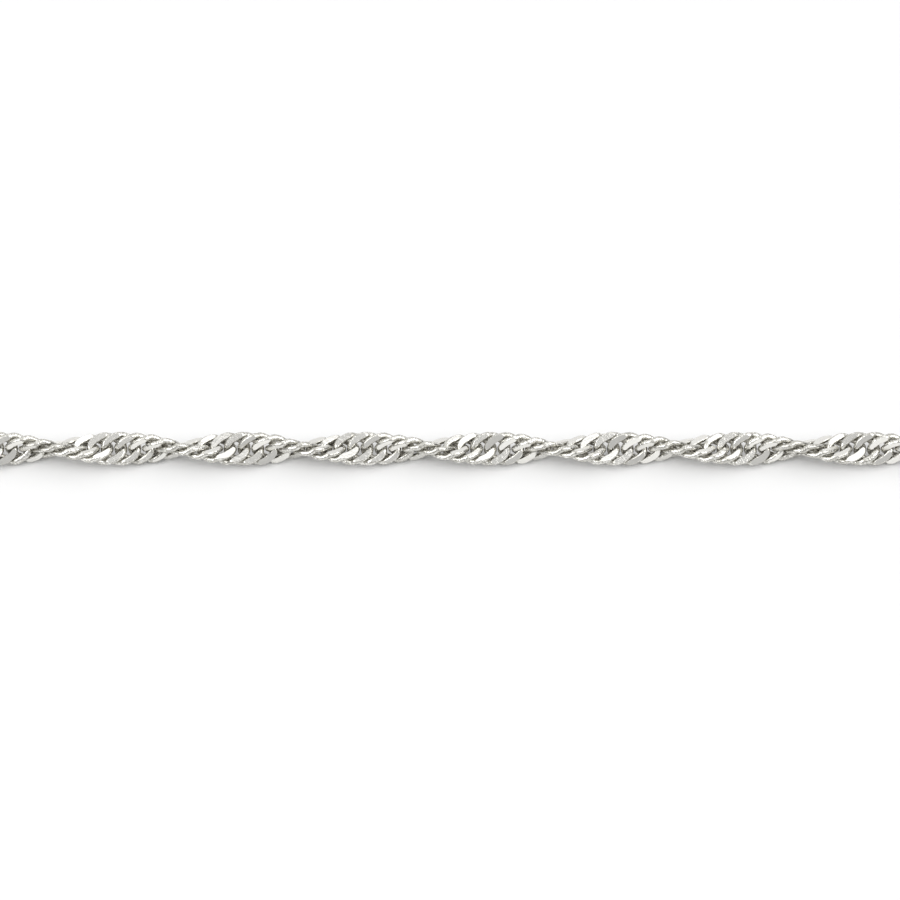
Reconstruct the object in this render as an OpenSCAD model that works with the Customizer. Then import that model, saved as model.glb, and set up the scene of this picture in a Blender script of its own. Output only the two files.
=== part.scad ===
// Fine singapore chain necklace, closed and lying flat on a surface.
// Millimetres. Z is up, and z = 0 is the surface that the chain lies on.
// The front of the necklace faces -Y, and its clasp is at the back.

/* [Necklace] */
// Length of the closed necklace along its middle, clasp and rings included
necklace_l = 457; // [400:1:620]
// Length of the straight stretch at the front
front_l = 76; // [50:1:100]

/* [Chain] */
// Width of the twisted chain at its widest places
chain_w = 2.27; // [1.8:0.01:2.8]
// Thickness of the wire of its links
link_wire = 0.41; // [0.3:0.01:0.5]
// Outer diameter of the round link that closes each end of the chain
end_link_d = 2.1; // [1.9:0.01:2.4]

/* [Rings] */
// Thickness of the wire of both rings
ring_wire = 0.42; // [0.3:0.01:0.5]
// Outer diameter of the jump ring between chain and clasp
jump_ring_d = 2.82; // [2.6:0.01:3.4]
// Outer diameter of the end ring that the clasp closes on
end_ring_d = 3.62; // [3.4:0.01:4.4]
// Lean of both rings away from upright, in degrees
ring_lean = 30; // [10:1:40]

/* [Clasp] */
// Outer diameter of the clasp's ring
clasp_d = 5.6; // [5:0.1:7]
// Thickness of the clasp's ring
clasp_tube = 1; // [0.8:0.05:1.1]
// Outer diameter of the clasp's eyelet
eyelet_d = 2.02; // [1.8:0.01:2.4]
// Thickness of the eyelet's wire
eyelet_wire = 0.42; // [0.3:0.01:0.5]
// Diameter of the clasp's thumb knob
knob_d = 0.7; // [0.5:0.05:0.9]
// Distance that the thumb knob stands out of the ring
knob_out = 0.6; // [0.3:0.05:1]

/* [Hidden] */
$fn = 48;

// Play between the wire of a ring and what it passes round
jump_play = 0.15;
end_play = 0.2;
clasp_play = 0.4;
// Depth of the eyelet's wire in the clasp's ring
eyelet_sunk = 0.3;
// Free hole in an end link that the end of the chain's body leaves open
link_hole = 0.9;
// Direction of the thumb knob round the clasp, from the eyelet towards the neck
knob_at = -60;

// Heights: the chain's middle, and the flat pieces of the clasp with it
mid_z = chain_w / 2;

// Radii of the middle lines of the wires
end_link_r = (end_link_d - link_wire) / 2;
jump_ring_r = (jump_ring_d - ring_wire) / 2;
end_ring_r = (end_ring_d - ring_wire) / 2;
clasp_r = (clasp_d - clasp_tube) / 2;
eyelet_r = (eyelet_d - eyelet_wire) / 2;

// A leaning ring stands on the surface. It crosses the height mid_z at an
// angle below its middle, half a chord away from it and to one side of it.
function ring_z(r) = r * cos(ring_lean) + ring_wire / 2;
function ring_dip(r) = (mid_z - ring_z(r)) / (r * cos(ring_lean));
function ring_chord(r) = r * sqrt(1 - pow(ring_dip(r), 2));
function ring_side(r) = -r * ring_dip(r) * sin(ring_lean);

// Places along the row of clasp parts, from the clasp's middle, eyelet towards +X
eyelet_x = clasp_r + clasp_tube / 2 + eyelet_r - eyelet_sunk;
jump_x = eyelet_x + eyelet_r - eyelet_wire / 2 - ring_wire / 2 - jump_play + ring_chord(jump_ring_r);
right_link_x = jump_x + ring_chord(jump_ring_r) - ring_wire / 2 - link_wire / 2 - jump_play;
end_ring_x = -clasp_r + clasp_tube / 2 + ring_wire / 2 + clasp_play - ring_chord(end_ring_r);
left_link_x = end_ring_x - ring_chord(end_ring_r) + ring_wire / 2 + link_wire / 2 + end_play;
row_mid = (right_link_x + left_link_x) / 2;

// The chain's body starts behind the hole of its end link, on both sides
body_x = (right_link_x - left_link_x) / 2 + link_wire / 2 + link_hole;

// Route of the chain: a straight front, two corner arcs and two back arcs.
// Each corner arc and back arc turn through a right angle about middles at one height.
body_l = necklace_l - 2 * body_x;
corner_r = ((body_l - front_l) / PI - front_l / 2 + body_x) / 2;
back_r = front_l / 2 + corner_r - body_x;
depth = corner_r + back_r;
clasp_out = max(clasp_d, chain_w) / 2;
front_y = (mid_z - clasp_out - depth) / 2;
back_y = front_y + depth;
arc_y = front_y + corner_r;

// Distances along one half of the route, from the middle of the front
corner_start = front_l / 2;
corner_end = corner_start + corner_r * PI / 2;
half_l = corner_end + back_r * PI / 2;

// Place on one half of the route: [x, y, heading in degrees]
function half_at(d) =
    d < corner_start ? [d, front_y, 0] :
    d < corner_end ? let (a = (d - corner_start) / corner_r * 180 / PI)
        [front_l / 2 + corner_r * sin(a), arc_y - corner_r * cos(a), a] :
    let (a = 90 + (d - corner_end) / back_r * 180 / PI)
        [body_x + back_r * sin(a), arc_y - back_r * cos(a), a];

// Place on the whole route, where d runs from -half_l to half_l
function route_at(d) = let (p = half_at(abs(d))) d < 0 ? [-p[0], p[1], -p[2]] : p;

// The chain's body is a tube of eight sides, swept along the route
tube_sides = 8;
ring_step = 2.5 * chain_w;
tube_rings = round(2 * half_l / ring_step) + 1;
corner_of_tube = chain_w / 2 / cos(180 / tube_sides);

function tube_point(place, k) =
    let (a = 180 / tube_sides * (2 * k + 1), side = corner_of_tube * cos(a))
    [place[0] - side * sin(place[2]), place[1] + side * cos(place[2]), mid_z + corner_of_tube * sin(a)];

tube_points = [
    for (i = [0:tube_rings - 1])
        let (place = route_at(half_l * (2 * i / (tube_rings - 1) - 1)))
        for (k = [0:tube_sides - 1]) tube_point(place, k)
];

function tube_corner(i, k) = i * tube_sides + k % tube_sides;

tube_faces = concat(
    [[for (k = [0:tube_sides - 1]) tube_corner(0, k)]],
    [for (i = [0:tube_rings - 2], k = [0:tube_sides - 1])
        [tube_corner(i, k), tube_corner(i + 1, k), tube_corner(i + 1, k + 1)]],
    [for (i = [0:tube_rings - 2], k = [0:tube_sides - 1])
        [tube_corner(i, k), tube_corner(i + 1, k + 1), tube_corner(i, k + 1)]],
    [[for (k = [tube_sides - 1:-1:0]) tube_corner(tube_rings - 1, k)]]
);

// A round ring of wire in the XY plane
module wire_ring(r, wire) {
    rotate_extrude() translate([r, 0]) circle(d = wire);
}

// A ring that stands on the surface and leans, in line with the chain
module leaning_ring(x, r) {
    translate([x - row_mid, back_y + ring_side(r), ring_z(r)])
        rotate([90 - ring_lean, 0, 0])
            wire_ring(r, ring_wire);
}

// The end link of one side of the chain, 1 for right and -1 for left
module end_link(side, outer_x) {
    translate([outer_x - row_mid + side * end_link_r, back_y, mid_z])
        wire_ring(end_link_r, link_wire);
}

module chain() {
    color("silver") {
        polyhedron(points = tube_points, faces = tube_faces);
        end_link(1, right_link_x);
        end_link(-1, left_link_x);
    }
}

module jump_ring() {
    color("silver") leaning_ring(jump_x, jump_ring_r);
}

module end_ring() {
    color("silver") leaning_ring(end_ring_x, end_ring_r);
}

module clasp() {
    color("silver")
        translate([-row_mid, back_y, mid_z]) {
            wire_ring(clasp_r, clasp_tube);
            translate([eyelet_x, 0, 0]) wire_ring(eyelet_r, eyelet_wire);
            rotate([0, 0, knob_at])
                translate([clasp_r, 0, 0])
                    rotate([0, 90, 0])
                        cylinder(d = knob_d, h = clasp_tube / 2 + knob_out);
        }
}

chain();
jump_ring();
end_ring();
clasp();
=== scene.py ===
# A fine singapore chain necklace of polished silver, closed and lying flat on a white surface.
# Metres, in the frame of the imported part: +X along the straight front, +Y to the clasp at the back.
import math

import bmesh
import bpy
import numpy as np
from mathutils import Matrix, Vector


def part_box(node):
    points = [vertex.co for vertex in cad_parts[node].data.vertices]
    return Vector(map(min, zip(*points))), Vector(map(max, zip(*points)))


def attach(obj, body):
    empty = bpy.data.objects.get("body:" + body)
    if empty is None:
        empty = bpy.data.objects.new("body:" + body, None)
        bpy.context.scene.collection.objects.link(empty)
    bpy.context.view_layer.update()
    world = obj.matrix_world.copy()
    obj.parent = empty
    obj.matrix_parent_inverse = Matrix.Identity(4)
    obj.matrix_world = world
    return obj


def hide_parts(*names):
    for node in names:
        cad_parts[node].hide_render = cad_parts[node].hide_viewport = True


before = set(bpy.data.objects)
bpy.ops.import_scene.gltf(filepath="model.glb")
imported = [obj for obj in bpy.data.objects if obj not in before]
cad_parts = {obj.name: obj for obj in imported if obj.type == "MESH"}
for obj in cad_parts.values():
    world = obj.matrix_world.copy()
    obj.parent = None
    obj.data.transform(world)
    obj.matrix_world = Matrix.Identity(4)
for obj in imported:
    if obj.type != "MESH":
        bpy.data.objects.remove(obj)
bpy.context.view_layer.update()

MM = 0.001
# One pixel of the photograph, as a length on the chain. The width of the chain that it comes from is a guess.
PIXEL = MM / 15

# Route of the chain. The straight front and the end links are repeated from the part.
FRONT_L = 76 * MM
END_LINK_D = 2.1 * MM
END_LINK_HOLE = 0.9 * MM
chain_low, chain_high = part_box("chain")
chain_w = chain_high.z - chain_low.z
mid_z = chain_w / 2
front_y = chain_low.y + mid_z
back_y = chain_high.y - mid_z
corner_r = chain_high.x - mid_z - FRONT_L / 2
back_r = back_y - front_y - corner_r
body_x = FRONT_L / 2 + corner_r - back_r
arc_y = front_y + corner_r
corner_end = FRONT_L / 2 + corner_r * math.pi / 2
half_l = corner_end + back_r * math.pi / 2

# A link's wire is round at its ends and spread in its four arms, where it is cut flat
LINK_WIRE = 0.41 * MM
ARM_SPREAD = 0.25
# The links away from the front have few faces, and thinner wire so that their corners stay apart
PLAIN_WIRE = 0.38 * MM
# Height of the flats over the middle of the link
FLAT_H = 0.28 * MM
# The tool doesn't cut all links alike: share of that height, and turns of the flats in degrees
CUTS = ((1, 0, 0), (0.93, 2, 1), (1.06, -2, 1), (0.96, 1, -2), (1.12, -1, -1), (0.9, -1, 1))
PLAIN_CUTS = CUTS[:2]
# Half the length and half the width of a link's middle line, and how much fuller it is across its
# noses and slimmer along its arms than an oval
LINK_LONG = 1.14667 * MM
LINK_WIDE = 0.91333 * MM
LINK_FULL = 0.1
LINK_SLIM = 0.4
# How far it is bent up and down like a saddle, and the share that levels its arms
LINK_SADDLE = 0.15333 * MM
LINK_LEVEL = 0.18
# Play between the wires of the last link and the end link
LINK_PLAY = 0.08 * MM
# Distance between links along the chain, and links in a full turn of its twist
LINK_PITCH = 0.912 * MM
LINKS_PER_TURN = 18.2
# How far a link may lie turned from its place, about the chain, across it and in its own plane
LOOSE = np.radians((4, 1, 2))
# Where the broad face of the chain turns to the camera, from the middle of the front
FACE_X = -5.44667 * MM

# Clasp, with its eyelet and thumb knob, repeated from the part
CLASP_D = 5.6 * MM
CLASP_TUBE = 1 * MM
EYELET_D = 2.02 * MM
EYELET_WIRE = 0.42 * MM
KNOB_D = 0.7 * MM
KNOB_OUT = 0.6 * MM
KNOB_AT = math.radians(-60)
# Easing of the knob's edge, which the part leaves sharp
KNOB_EDGE = 0.15 * MM
KNOB_EDGE_STEPS = 4

# Steps round each ring of wire, and sides of the wire
FINE_FACES = (44, 12)
PLAIN_FACES = (16, 6)
END_LINK_FACES = (40, 12)
CLASP_FACES = (96, 24)
EYELET_FACES = (48, 16)
KNOB_SIDES = 32

# Silver, from where it is polished to where it has darkened. The last tone is also painted shade, laid into
# the recesses of the links' wire.
BRIGHT = (0.9, 0.89, 0.85, 1)
GREY = (0.74, 0.73, 0.69, 1)
DULL = (0.55, 0.54, 0.5, 1)
SHADE_AND_TARNISH = (0.42, 0.4, 0.35, 1)
# Widths and depths of the marks in the wire of the links
DENT = 0.14 * MM
DENT_DEPTH = 0.025 * MM
GRAIN = 0.03 * MM
GRAIN_DEPTH = 0.0008 * MM
# The same for the flats
TOOL_LINE = 0.02 * MM
TOOL_LINE_DEPTH = 0.0006 * MM
FLAT_WAVE = 0.25 * MM
FLAT_WAVE_DEPTH = 0.014 * MM
# The same for the rings and the clasp
RING_WAVE = 0.3 * MM
RING_WAVE_DEPTH = 0.006 * MM
CLASP_WAVE = 0.9 * MM
CLASP_WAVE_DEPTH = 0.012 * MM
CLOUD = 1.6 * MM
HAIR = 0.03 * MM
HAIR_DEPTH = 0.0004 * MM
# How lines are drawn out: below 1 along the axis that they follow
TOOL_LINE_STRETCH = (0.05, 1, 1)
HAIR_STRETCH = (1, 0.04, 1)
# Where each mask starts and is full, and how far dents and a link's own tone shift it. The first mask lifts
# the painted shade off the wire as it reaches out from the link's middle.
REACH_RANGE = (0.25, 0.7)
REACH_SHIFT = 0.5
BLOTCH_RANGE = (0.4, 0.52)
BLOTCH_SHIFT = 0.1
CLOUD_RANGE = (0.4, 0.65)
# Roughness of each bright surface, and what its marks add to it
WIRE_ROUGH = 0.14
SHELTER_ROUGH = 0.22
GRAIN_ROUGH = 0.12
FLAT_ROUGH = 0.12
TOOL_LINE_ROUGH = 0.12
RING_ROUGH = 0.12
CLOUD_ROUGH = 0.12
HAIR_ROUGH = 0.08
# Longest shift of the pattern from link to link
PATTERN_SHIFT = 20 * MM

# White surface: its half size, the two tones of its paper and the width of their clouds
SURFACE_HALF = 1.5
PAPER = (0.775, 0.775, 0.775, 1)
PALE_PAPER = (0.795, 0.795, 0.795, 1)
PAPER_CLOUD = 4 * MM
PAPER_ROUGH = 0.8

# Camera: its height over the surface in degrees, and the middle of its picture
CAMERA_HEIGHT = 50
LENS = 180
SENSOR = 36
PICTURE = 900 * PIXEL
PICTURE_X = 0.7 * PIXEL
PICTURE_DOWN = 1.3 * PIXEL
NEAREST = 0.01
FARTHEST = 10

# Lights: azimuth from the back and height in degrees, distance and size in metres, power in watts
LIGHTS = {
    "left_light": (-118, 48, 0.6, 0.45, 1.55),
    "right_light": (118, 48, 0.6, 0.45, 1.55),
    "back_light": (0, 70, 0.6, 0.5, 0.4),
}
# Tones of the room, by how far sideways and how far back a ray points
ROOM_SIDES = ((0.75, 1), (0.92, 0.25))
ROOM_BACK = ((0, 0.6), (0.2, 0.9))


class Shade:
    """An output of a node. Sums, differences, products and the absolute of it add Math nodes."""

    def __init__(self, socket):
        self.socket = socket

    def maths(self, operation, *values):
        node = self.socket.id_data.nodes.new("ShaderNodeMath")
        node.operation = operation
        for i, value in enumerate(values):
            plug(node.inputs[i], value)
        return Shade(node.outputs[0])

    def __add__(self, other):
        return self.maths("ADD", self, other)

    def __radd__(self, other):
        return self.maths("ADD", other, self)

    def __sub__(self, other):
        return self.maths("SUBTRACT", self, other)

    def __rsub__(self, other):
        return self.maths("SUBTRACT", other, self)

    def __mul__(self, other):
        return self.maths("MULTIPLY", self, other)

    def __rmul__(self, other):
        return self.maths("MULTIPLY", other, self)

    def __abs__(self):
        return self.maths("ABSOLUTE", self)


def plug(socket, value):
    """Link a shade to a socket, or set the socket's own value."""
    if isinstance(value, Shade):
        socket.id_data.links.new(value.socket, socket)
    else:
        socket.default_value = value


class Tree:
    """The node tree of a material or of the world."""

    def __init__(self, owner):
        owner.use_nodes = True
        self.nodes = owner.node_tree.nodes

    def add(self, kind, settings=None, sockets=None, stops=None, out=0):
        """A node with its settings and a ramp's stops made first, then its sockets' values or links."""
        node = self.nodes.new(kind)
        for name, value in (settings or {}).items():
            setattr(node, name, value)
        for i, (place, tone) in enumerate(stops or []):
            if i > 1:
                node.color_ramp.elements.new(place)
            node.color_ramp.elements[i].position = place
            node.color_ramp.elements[i].color = (tone, tone, tone, 1)
        for key, value in (sockets or {}).items():
            plug(node.inputs[key], value)
        return Shade(node.outputs[out])


class Finish(Tree):
    """A material with one Principled shader."""

    def __init__(self, name):
        self.material = bpy.data.materials.new(name)
        super().__init__(self.material)
        self.shader = self.nodes["Principled BSDF"]

    def set(self, **sockets):
        for name, value in sockets.items():
            plug(self.shader.inputs[name.replace("_", " ")], value)

    def object_place(self):
        """Place on the piece, in the coordinates of its object."""
        return self.add("ShaderNodeTexCoord", out=3)

    def link_grain(self):
        """Place on a link before it was put in the chain, shifted from link to link."""
        return self.add("ShaderNodeAttribute", {"attribute_name": "grain"}, out=1)

    def link_value(self, name):
        """One number that the links carry."""
        return self.add("ShaderNodeAttribute", {"attribute_name": name}, out=2)

    def noise(self, place, width, detail=3, stretch=(1, 1, 1)):
        """Noise from 0 to 1 with marks of a width in metres, drawn out where the stretch is below 1."""
        place = self.add("ShaderNodeMapping", {"vector_type": "POINT"}, {"Vector": place, "Scale": stretch})
        sockets = {"Vector": place, "Scale": 1 / width, "Detail": detail}
        return self.add("ShaderNodeTexNoise", {"noise_dimensions": "3D"}, sockets)

    def ramp(self, value, low, high):
        """0 where the value is low, 1 where it is high, soft between."""
        sockets = {"Value": value, "From Min": low, "From Max": high}
        return self.add("ShaderNodeMapRange", {"interpolation_type": "SMOOTHSTEP"}, sockets)

    def mix(self, factor, first, second):
        """First colour where the factor is 0, second where it is 1."""
        return self.add("ShaderNodeMix", {"data_type": "RGBA"}, {0: factor, 6: first, 7: second}, out=2)

    def bump(self, height, depth, under=None):
        """Normal of a surface raised by a height from 0 to 1, times a depth in metres."""
        sockets = {"Height": height, "Distance": depth, "Strength": 1}
        if under:
            sockets["Normal"] = under
        return self.add("ShaderNodeBump", {"invert": False}, sockets)


def skin_silver():
    """The drawn wire of the links: small dents, blotches of bright and dull silver, and painted shade with
    some tarnish where the wire lies in towards the middle of the link.
    """
    f = Finish("skin_silver")
    grain = f.link_grain()
    reach = f.link_value("reach")
    tone = f.link_value("tone")
    dents = f.noise(grain, DENT)
    fine = f.noise(grain, GRAIN)
    # Painted shade, with some tarnish: the wire darkens in the link's recesses, where it lies near the link's
    # middle.
    recess_shade = 1 - f.ramp(reach + REACH_SHIFT * (dents - 0.5), *REACH_RANGE)
    blotches = f.ramp(dents + BLOTCH_SHIFT * (tone - 0.5), *BLOTCH_RANGE)
    colour = f.mix(recess_shade, f.mix(blotches, BRIGHT, DULL), SHADE_AND_TARNISH)
    f.set(Base_Color=colour, Metallic=1, Roughness=WIRE_ROUGH + SHELTER_ROUGH * recess_shade + GRAIN_ROUGH * fine)
    f.set(Normal=f.bump(fine, GRAIN_DEPTH, f.bump(dents, DENT_DEPTH)))
    return f.material


def cut_silver():
    """The flats that the diamond tool leaves: near mirrors with fine lines along the chain."""
    f = Finish("cut_silver")
    grain = f.link_grain()
    tone = f.link_value("tone")
    lines = f.noise(grain, TOOL_LINE, 2, TOOL_LINE_STRETCH)
    waves = f.noise(grain, FLAT_WAVE)
    colour = f.mix(tone * waves, BRIGHT, GREY)
    f.set(Base_Color=colour, Metallic=1, Roughness=FLAT_ROUGH + TOOL_LINE_ROUGH * lines)
    f.set(Normal=f.bump(lines, TOOL_LINE_DEPTH, f.bump(waves, FLAT_WAVE_DEPTH)))
    return f.material


def tumbled_silver(name, wave, depth):
    """The smooth silver of rings and clasp: soft waves of the polish, hairlines and a faint tarnish."""
    f = Finish(name)
    place = f.object_place()
    waves = f.noise(place, wave)
    clouds = f.noise(place, CLOUD)
    hairs = f.noise(place, HAIR, 2, HAIR_STRETCH)
    dull = f.ramp(clouds, *CLOUD_RANGE)
    colour = f.mix(dull, GREY, DULL)
    f.set(Base_Color=colour, Metallic=1, Roughness=RING_ROUGH + CLOUD_ROUGH * dull + HAIR_ROUGH * hairs)
    f.set(Normal=f.bump(hairs, HAIR_DEPTH, f.bump(waves, depth)))
    return f.material


def white_paper():
    """The smooth white surface under the chain."""
    f = Finish("white_paper")
    clouds = f.noise(f.object_place(), PAPER_CLOUD)
    f.set(Base_Color=f.mix(clouds, PAPER, PALE_PAPER), Roughness=PAPER_ROUGH)
    return f.material


def made_mesh(name, bm):
    """The mesh of a finished bmesh."""
    mesh = bpy.data.meshes.new(name)
    bm.to_mesh(mesh)
    bm.free()
    return mesh


def placed(name, mesh, *materials):
    """A mesh put in the scene with its materials, its object at the origin."""
    for material in materials:
        mesh.materials.append(material)
    piece = bpy.data.objects.new(name, mesh)
    bpy.context.scene.collection.objects.link(piece)
    return piece


def route_at(d):
    """Place and heading on the route at distance d from the middle of the front."""
    far, side = abs(d), math.copysign(1, d)
    if far < FRONT_L / 2:
        x, y, turn = far, front_y, 0
    elif far < corner_end:
        turn = (far - FRONT_L / 2) / corner_r
        x, y = FRONT_L / 2 + corner_r * math.sin(turn), arc_y - corner_r * math.cos(turn)
    else:
        turn = math.pi / 2 + (far - corner_end) / back_r
        x, y = body_x + back_r * math.sin(turn), arc_y - back_r * math.cos(turn)
    return Vector((side * x, y, mid_z)), side * turn


def link_middle(t):
    """Point at angle t on the middle line of a link's wire."""
    along = math.cos(t) * (1 - LINK_SLIM * math.sin(t) ** 2)
    across = math.sin(t) * (1 + LINK_FULL * math.cos(t) ** 2)
    bend = math.sin(2 * t) + LINK_LEVEL * math.sin(6 * t)
    return Vector((LINK_LONG * along, LINK_WIDE * across, -LINK_SADDLE * bend))


def ring_of_wire(bm, centre, radius, wire, steps, sides):
    """A ring of round wire in the XY plane, spun from a circle."""
    at = Matrix.Translation(centre + Vector((radius, 0, 0))) @ Matrix.Rotation(math.pi / 2, 4, "X")
    made = bmesh.ops.create_circle(bm, segments=sides, radius=wire / 2, matrix=at)
    edges = list(dict.fromkeys(e for v in made["verts"] for e in v.link_edges))
    full = 2 * math.pi
    bmesh.ops.spin(bm, geom=edges, cent=centre, axis=(0, 0, 1), angle=full, steps=steps, use_merge=True)
    bmesh.ops.recalc_face_normals(bm, faces=bm.faces)
    for f in bm.faces:
        f.smooth = True


def link_template(steps, sides, wire, flat_h, *tilt):
    """One link in the XY plane, with flats at a height on both faces, tilted a little about X and Y."""
    bm = bmesh.new()
    ring_of_wire(bm, Vector(), 1, wire, steps, sides)
    little = 1e-4
    for v in bm.verts:
        t = math.atan2(v.co.y, v.co.x)
        out, up = v.co.to_2d().length - 1, v.co.z
        along = (link_middle(t + little) - link_middle(t - little)).normalized()
        outward = along.cross(Vector((0, 0, 1))).normalized()
        spread = 1 + ARM_SPREAD * abs(math.sin(2 * t))
        v.co = link_middle(t) + outward * out * spread + outward.cross(along) * up
    bmesh.ops.recalc_face_normals(bm, faces=bm.faces)
    turn = Matrix.Rotation(math.radians(tilt[0]), 3, "X") @ Matrix.Rotation(math.radians(tilt[1]), 3, "Y")
    for face in (1, -1):
        everything = bm.verts[:] + bm.edges[:] + bm.faces[:]
        done = bmesh.ops.bisect_plane(bm, geom=everything, dist=1e-7, plane_co=(0, 0, face * flat_h),
                                      plane_no=turn @ Vector((0, 0, face)), clear_outer=True)
        rim = [e for e in done["geom_cut"] if isinstance(e, bmesh.types.BMEdge)]
        for f in bmesh.ops.holes_fill(bm, edges=rim)["faces"]:
            f.smooth = False
            f.material_index = 1
    return made_mesh("link", bm)


def link_places():
    """Distance along the route and roll of each link, from the left end to the right end."""
    last = half_l - (LINK_LONG + END_LINK_D - 2.5 * LINK_WIRE - END_LINK_HOLE - LINK_PLAY)
    steps = round(last / LINK_PITCH)
    pitch = last / steps
    turn = 2 * math.pi / LINKS_PER_TURN
    facing = math.radians(90 - CAMERA_HEIGHT)
    places = []
    for side in (-1, 1):
        # The last link stands upright in the flat end link. Its side of the chain shares out that roll.
        end_roll = facing + turn * (side * last - FACE_X) / LINK_PITCH
        spare = (end_roll - math.pi / 2) / math.pi
        spare = (round(spare) - spare) * math.pi
        for i in range(steps + 1) if side > 0 else range(-steps, 0):
            d = i * pitch
            ease = min(max((abs(d) - FRONT_L / 2) / (last - FRONT_L / 2), 0), 1)
            roll = facing + turn * (d - FACE_X) / LINK_PITCH + spare * ease * ease * (3 - 2 * ease)
            places.append((d, roll))
    return places


def link_matrix(d, roll, loose):
    """Where a link goes from the XY plane, with its loose turns about X, Y and Z."""
    place, heading = route_at(d)
    turn = Matrix.Rotation(heading, 4, "Z") @ Matrix.Rotation(roll + loose[0], 4, "X")
    play = Matrix.Rotation(loose[1], 4, "Y") @ Matrix.Rotation(loose[2], 4, "Z")
    return Matrix.Translation(place) @ turn @ play


def linked_chain(name, templates, places, seed):
    """All the links of one stretch of chain in one mesh, each from a template drawn at random."""
    draw = np.random.default_rng(seed)
    points, faces, smooth, finish, grain, reach, tone = [], [], [], [], [], [], []
    for place in places:
        template = templates[draw.integers(len(templates))]
        rest = np.array([v.co for v in template.vertices])
        matrix = np.array(link_matrix(*place, draw.uniform(-1, 1, 3) * LOOSE))
        start = len(points)
        points.extend(rest @ matrix[:3, :3].T + matrix[:3, 3])
        for p in template.polygons:
            faces.append([start + v for v in p.vertices])
            smooth.append(p.use_smooth)
            finish.append(p.material_index)
        grain.extend(rest + draw.random(3) * PATTERN_SHIFT)
        # How far each point reaches out from the link's middle, to its flats or its sides. The wire's
        # material paints shade where this is low.
        height = np.abs(rest[:, 2]) / FLAT_H
        width = np.abs(rest[:, 1]) / (LINK_WIDE + LINK_WIRE / 2)
        reach.extend(np.maximum(height, width))
        tone.extend([draw.random()] * len(rest))
    mesh = bpy.data.meshes.new(name)
    mesh.from_pydata(points, [], faces)
    mesh.polygons.foreach_set("use_smooth", smooth)
    mesh.polygons.foreach_set("material_index", finish)
    mesh.attributes.new("grain", "FLOAT_VECTOR", "POINT").data.foreach_set("vector", np.ravel(grain))
    mesh.attributes.new("reach", "FLOAT", "POINT").data.foreach_set("value", reach)
    mesh.attributes.new("tone", "FLOAT", "POINT").data.foreach_set("value", tone)
    return placed(name, mesh, skin, cut)


def end_links():
    """The round links that close both ends of the chain."""
    bm = bmesh.new()
    radius = (END_LINK_D - LINK_WIRE) / 2
    for side in (-1, 1):
        x = side * (body_x - END_LINK_HOLE - LINK_WIRE / 2 + radius)
        ring_of_wire(bm, Vector((x, back_y, mid_z)), radius, LINK_WIRE, *END_LINK_FACES)
    return placed("end_links", made_mesh("end_links", bm), tumbled)


def clasp():
    """The closed ring of the clasp, with the eyelet and the thumb knob soldered to it."""
    low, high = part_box("clasp")
    middle = Vector((low.x + CLASP_D / 2, back_y, mid_z))
    eyelet = Vector((high.x - EYELET_D / 2, back_y, mid_z))
    radius = (CLASP_D - CLASP_TUBE) / 2
    bm = bmesh.new()
    ring_of_wire(bm, middle, radius, CLASP_TUBE, *CLASP_FACES)
    ring_of_wire(bm, eyelet, (EYELET_D - EYELET_WIRE) / 2, EYELET_WIRE, *EYELET_FACES)
    length = CLASP_TUBE / 2 + KNOB_OUT
    out = Matrix.Rotation(KNOB_AT, 4, "Z") @ Matrix.Translation((radius + length / 2, 0, 0))
    at = Matrix.Translation(middle) @ out @ Matrix.Rotation(math.pi / 2, 4, "Y")
    made = bmesh.ops.create_cone(bm, cap_ends=True, segments=KNOB_SIDES, radius1=KNOB_D / 2,
                                 radius2=KNOB_D / 2, depth=length, matrix=at)
    knob = [f for v in made["verts"] for f in v.link_faces]
    tip = max(knob, key=lambda f: (f.calc_center_median() - middle).length)
    bmesh.ops.bevel(bm, geom=tip.edges[:], offset=KNOB_EDGE, offset_type="OFFSET", segments=KNOB_EDGE_STEPS,
                    profile=0.5, affect="EDGES", material=-1)
    for f in bm.faces:
        f.smooth = len(f.verts) < 5
    return placed("clasp_ring", made_mesh("clasp_ring", bm), clasp_silver)


def white_surface():
    """The flat surface that the necklace lies on."""
    bm = bmesh.new()
    bmesh.ops.create_grid(bm, x_segments=1, y_segments=1, size=SURFACE_HALF)
    return placed("surface", made_mesh("surface", bm), white_paper())


def set_camera():
    """A long lens that looks down on the middle of the chain's front."""
    data = bpy.data.cameras.new("camera")
    data.lens = LENS
    data.sensor_width = SENSOR
    data.clip_start = NEAREST
    data.clip_end = FARTHEST
    camera = bpy.data.objects.new("camera", data)
    bpy.context.scene.collection.objects.link(camera)
    up = math.radians(CAMERA_HEIGHT)
    toward = Vector((0, -math.cos(up), math.sin(up)))
    above = Vector((0, math.sin(up), math.cos(up)))
    aim = Vector((PICTURE_X, front_y, mid_z)) - above * PICTURE_DOWN
    camera.location = aim + toward * PICTURE * LENS / SENSOR
    camera.rotation_euler = (math.radians(90 - CAMERA_HEIGHT), 0, 0)
    bpy.context.scene.camera = camera


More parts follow.
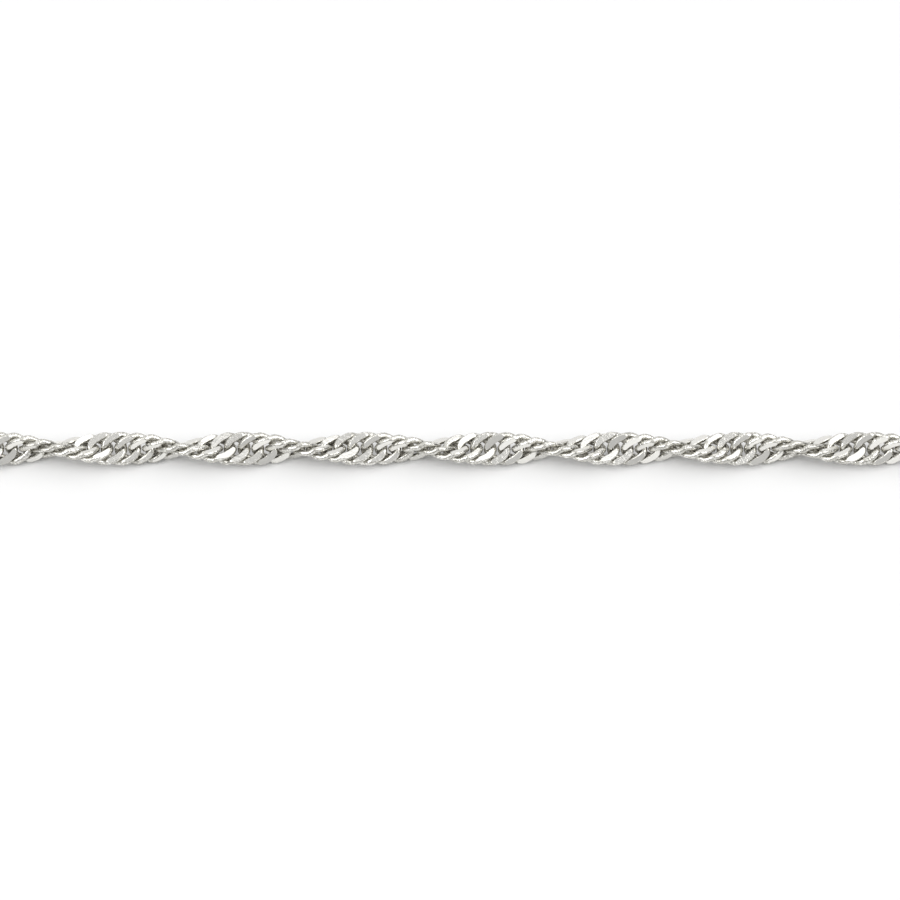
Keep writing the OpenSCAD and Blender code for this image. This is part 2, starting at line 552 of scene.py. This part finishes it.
def soft_light(name, azimuth, height, distance, size, power):
    """A square light that faces the middle of the chain's front."""
    data = bpy.data.lights.new(name, "AREA")
    data.shape = "SQUARE"
    data.size = size
    data.energy = power
    light = bpy.data.objects.new(name, data)
    bpy.context.scene.collection.objects.link(light)
    turn, up = math.radians(azimuth), math.radians(height)
    way = Vector((math.sin(turn) * math.cos(up), math.cos(turn) * math.cos(up), math.sin(up)))
    light.location = Vector((0, front_y, 0)) + way * distance
    light.rotation_euler = way.to_track_quat("Z", "Y").to_euler()


def studio_room():
    """A grey room, dark to its sides and lighter at the back than at the front."""
    world = bpy.data.worlds.new("studio")
    bpy.context.scene.world = world
    tree = Tree(world)
    way = tree.add("ShaderNodeTexCoord")
    across = tree.add("ShaderNodeSeparateXYZ", sockets={"Vector": way})
    side = tree.add("ShaderNodeValToRGB", sockets={"Fac": abs(across)}, stops=ROOM_SIDES)
    back = tree.add("ShaderNodeSeparateXYZ", sockets={"Vector": way}, out=1)
    wall = tree.add("ShaderNodeValToRGB", sockets={"Fac": back}, stops=ROOM_BACK)
    plug(tree.nodes["Background"].inputs["Color"], side * wall)


skin = skin_silver()
cut = cut_silver()
tumbled = tumbled_silver("ring_silver", RING_WAVE, RING_WAVE_DEPTH)
clasp_silver = tumbled_silver("clasp_silver", CLASP_WAVE, CLASP_WAVE_DEPTH)

fine_links = [link_template(*FINE_FACES, LINK_WIRE, share * FLAT_H, *tilt) for share, *tilt in CUTS]
plain_links = [link_template(*PLAIN_FACES, PLAIN_WIRE, share * FLAT_H, *tilt) for share, *tilt in PLAIN_CUTS]
places = link_places()
stretches = {
    "front_links": (fine_links, [p for p in places if abs(p[0]) < FRONT_L / 2]),
    "left_links": (plain_links, [p for p in places if p[0] <= -FRONT_L / 2]),
    "right_links": (plain_links, [p for p in places if p[0] >= FRONT_L / 2]),
}
pieces = [linked_chain(name, *made, seed) for seed, (name, made) in enumerate(stretches.items())]
for piece in pieces + [end_links()]:
    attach(piece, "root")
    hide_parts("chain")

clasp_ring = clasp()
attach(clasp_ring, "root")
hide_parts("clasp")

for node in ("jump_ring", "end_ring"):
    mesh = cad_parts[node].data
    mesh.materials.clear()
    mesh.materials.append(tumbled)

white_surface()
set_camera()
for name, place in LIGHTS.items():
    soft_light(name, *place)
studio_room()
bpy.context.scene.view_settings.view_transform = "Standard"
